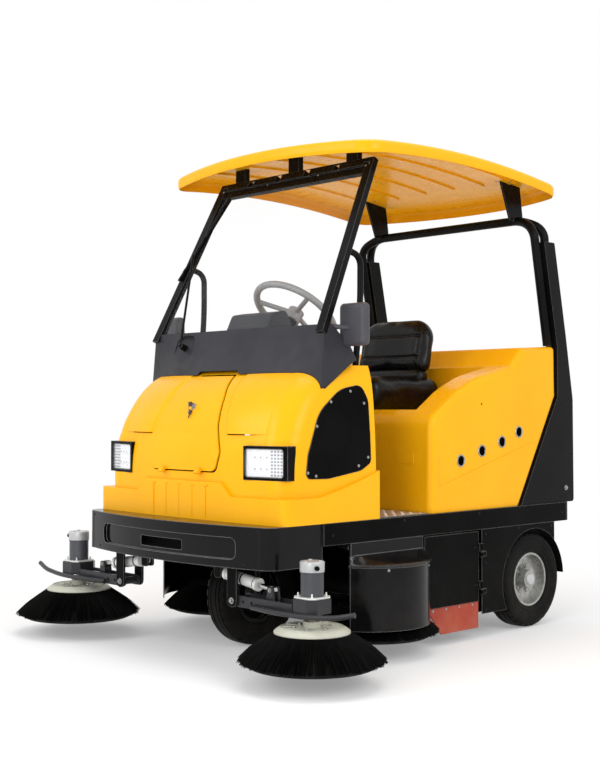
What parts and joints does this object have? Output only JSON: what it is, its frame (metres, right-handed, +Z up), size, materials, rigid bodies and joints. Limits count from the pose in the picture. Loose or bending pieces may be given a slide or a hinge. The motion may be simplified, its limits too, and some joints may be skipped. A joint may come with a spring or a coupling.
{
  "type": "compact road sweeper",
  "caption": "Ride-on battery road sweeper with a canopy, windscreen, side brushes on arms, a main roller and a rear hopper.",
  "frame": {"origin": "on the ground under the middle of the whole machine", "axes": "+Z up, -Y to the front, +X to the machine's left"},
  "size_m": [1.898, 1.9989, 1.9582],
  "materials": {
    "yellow_plastic": "moulded yellow, glossy",
    "black_steel": "black powder coat",
    "black_plastic": "moulded black, glossy",
    "grey_plastic": "dark grey moulding",
    "clear_glass": "clear screen",
    "tyre_rubber": "black tyre",
    "rim_steel": "galvanised pressed steel",
    "bristle": "black bristles",
    "disc_plastic": "pale grey-green plastic",
    "motor_metal": "grey motor housing",
    "white_metal": "white actuator tube",
    "steel": "bare steel",
    "red_rubber": "red rubber flap",
    "seat_vinyl": "black vinyl",
    "lamp_lens": "lamp lens with light spots",
    "dark_block": "battery block",
    "wheel_grey": "grey steering wheel"
  },
  "bodies": {
    "chassis": {"deck": "black_steel", "chassis_frame": "black_steel", "cross_members": "black_steel", "brush_lugs": "black_steel", "rear_axle": "black_steel", "brush_shrouds": "black_plastic", "roller_housing": "black_steel", "wheel_arches": "black_steel", "front_bumper": "black_plastic", "front_shell": "yellow_plastic", "side_panels": "black_steel", "headlamp_bezels": "black_plastic", "headlamp_lenses": "lamp_lens", "windscreen_frame": "black_steel", "windscreen_glass": "clear_glass", "cowl": "grey_plastic", "steering_column": "black_steel", "mirrors": "black_plastic", "grab_rails": "black_steel", "rear_body": "yellow_plastic", "seat_cushion": "seat_vinyl", "seat_backrest": "seat_vinyl", "battery": "dark_block", "uprights": "black_steel", "rear_hoop": "black_steel", "roof": "yellow_plastic"},
    "steering": {"front_fork": "black_steel"},
    "front_wheel": {"front_tyre": "tyre_rubber", "front_rim": "black_steel"},
    "steering_wheel_body": {"steering_wheel": "wheel_grey"},
    "main_roller_body": {"main_roller": "bristle"},
    "access_door_body": {"access_door": "yellow_plastic"},
    "hopper_body": {"hopper": "black_steel"},
    "wiper_body": {"wiper": "black_plastic"},
    "rear_wheel_left": {"rear_tyre_left": "tyre_rubber", "rear_rim_left": "rim_steel"},
    "front_arm_left": {"brush_arm_left": "black_steel", "brush_motor_left": "motor_metal"},
    "actuator_left": {"actuator_body_left": "white_metal"},
    "actuator_slide_left": {"actuator_rod_left": "steel"},
    "front_brush_left": {"front_brush_disc_left": "disc_plastic", "front_bristles_left": "bristle"},
    "mid_lift_left": {"mid_brush_mount_left": "black_steel"},
    "mid_brush_body_left": {"mid_brush_left": "bristle"},
    "side_door_body_left": {"side_door_left": "black_steel", "door_flap_left": "red_rubber"},
    "rear_wheel_right": {"rear_tyre_right": "tyre_rubber", "rear_rim_right": "rim_steel"},
    "front_arm_right": {"brush_arm_right": "black_steel", "brush_motor_right": "motor_metal"},
    "actuator_right": {"actuator_body_right": "white_metal"},
    "actuator_slide_right": {"actuator_rod_right": "steel"},
    "front_brush_right": {"front_brush_disc_right": "disc_plastic", "front_bristles_right": "bristle"},
    "mid_lift_right": {"mid_brush_mount_right": "black_steel"},
    "mid_brush_body_right": {"mid_brush_right": "bristle"},
    "side_door_body_right": {"side_door_right": "black_steel", "door_flap_right": "red_rubber"}
  },
  "joints": [
    {"name": "steer", "type": "hinge", "parent": "chassis", "child": "steering", "pos_m": [0, -0.393, 0.4], "axis": [0, 0, 1], "range_deg": [-55, 55]},
    {"name": "front_wheel_spin", "type": "hinge", "parent": "steering", "child": "front_wheel", "pos_m": [0, -0.393, 0.2], "axis": [1, 0, 0], "continuous": true},
    {"name": "steering_wheel_turn", "type": "hinge", "parent": "chassis", "child": "steering_wheel_body", "pos_m": [0, -0.162, 1.306], "axis": [0, 0.6252, 0.7804], "range_deg": [-275, 275]},
    {"name": "roller_spin", "type": "hinge", "parent": "chassis", "child": "main_roller_body", "pos_m": [0, 0.2, 0.155], "axis": [1, 0, 0], "continuous": true},
    {"name": "access_door_hinge", "type": "hinge", "parent": "chassis", "child": "access_door_body", "pos_m": [0, -0.758, 0.688], "axis": [1, 0, 0], "range_deg": [0, 95]},
    {"name": "hopper_slide", "type": "slide", "parent": "chassis", "child": "hopper_body", "axis": [0, 1, 0], "range_m": [0, 0.38]},
    {"name": "wiper_sweep", "type": "hinge", "parent": "chassis", "child": "wiper_body", "pos_m": [-0.28, -0.51987, 1.16759], "axis": [0, -0.8988, 0.4383], "range_deg": [-90, 0]},
    {"name": "rear_wheel_spin_left", "type": "hinge", "parent": "chassis", "child": "rear_wheel_left", "pos_m": [0.49, 0.7, 0.2], "axis": [1, 0, 0], "continuous": true},
    {"name": "front_arm_lift_left", "type": "hinge", "parent": "chassis", "child": "front_arm_left", "pos_m": [0.335, -0.738, 0.246], "axis": [0, -1, 0], "range_deg": [-5, 12]},
    {"name": "front_brush_spin_left", "type": "hinge", "parent": "front_arm_left", "child": "front_brush_left", "pos_m": [0.692, -0.738, 0.2], "axis": [0, 0, 1], "continuous": true},
    {"name": "actuator_tilt_left", "type": "hinge", "parent": "chassis", "child": "actuator_left", "pos_m": [0.225, -0.738, 0.335], "axis": [0, -1, 0], "range_deg": [-8, 12]},
    {"name": "actuator_stroke_left", "type": "slide", "parent": "actuator_left", "child": "actuator_slide_left", "axis": [0.9901, 0, -0.1404], "range_m": [-0.02, 0.02]},
    {"name": "mid_brush_lift_left", "type": "slide", "parent": "chassis", "child": "mid_lift_left", "axis": [0, 0, 1], "range_m": [-0.055, 0]},
    {"name": "mid_brush_spin_left", "type": "hinge", "parent": "mid_lift_left", "child": "mid_brush_body_left", "pos_m": [0.44, -0.173, 0.2], "axis": [0, 0, 1], "continuous": true},
    {"name": "side_door_hinge_left", "type": "hinge", "parent": "chassis", "child": "side_door_body_left", "pos_m": [0.559, 0.338, 0.29], "axis": [0, 0, 1], "range_deg": [0, 100]},
    {"name": "rear_wheel_spin_right", "type": "hinge", "parent": "chassis", "child": "rear_wheel_right", "pos_m": [-0.49, 0.7, 0.2], "axis": [1, 0, 0], "continuous": true},
    {"name": "front_arm_lift_right", "type": "hinge", "parent": "chassis", "child": "front_arm_right", "pos_m": [-0.335, -0.738, 0.246], "axis": [0, 1, 0], "range_deg": [-5, 12]},
    {"name": "front_brush_spin_right", "type": "hinge", "parent": "front_arm_right", "child": "front_brush_right", "pos_m": [-0.692, -0.738, 0.2], "axis": [0, 0, 1], "continuous": true},
    {"name": "actuator_tilt_right", "type": "hinge", "parent": "chassis", "child": "actuator_right", "pos_m": [-0.225, -0.738, 0.335], "axis": [0, 1, 0], "range_deg": [-8, 12]},
    {"name": "actuator_stroke_right", "type": "slide", "parent": "actuator_right", "child": "actuator_slide_right", "axis": [-0.9901, 0, -0.1404], "range_m": [-0.02, 0.02]},
    {"name": "mid_brush_lift_right", "type": "slide", "parent": "chassis", "child": "mid_lift_right", "axis": [0, 0, 1], "range_m": [-0.055, 0]},
    {"name": "mid_brush_spin_right", "type": "hinge", "parent": "mid_lift_right", "child": "mid_brush_body_right", "pos_m": [-0.44, -0.173, 0.2], "axis": [0, 0, 1], "continuous": true},
    {"name": "side_door_hinge_right", "type": "hinge", "parent": "chassis", "child": "side_door_body_right", "pos_m": [-0.559, 0.338, 0.29], "axis": [0, 0, -1], "range_deg": [0, 100]}
  ],
  "couplings": [
    {"joint": "steering_wheel_turn", "follows": "steer", "ratio": 5},
    {"joint": "actuator_tilt_left", "follows": "front_arm_lift_left", "ratio": 0.565},
    {"joint": "actuator_stroke_left", "follows": "front_arm_lift_left", "m_per_rad": -0.0765},
    {"joint": "actuator_tilt_right", "follows": "front_arm_lift_right", "ratio": 0.565},
    {"joint": "actuator_stroke_right", "follows": "front_arm_lift_right", "m_per_rad": -0.0765}
  ]
}
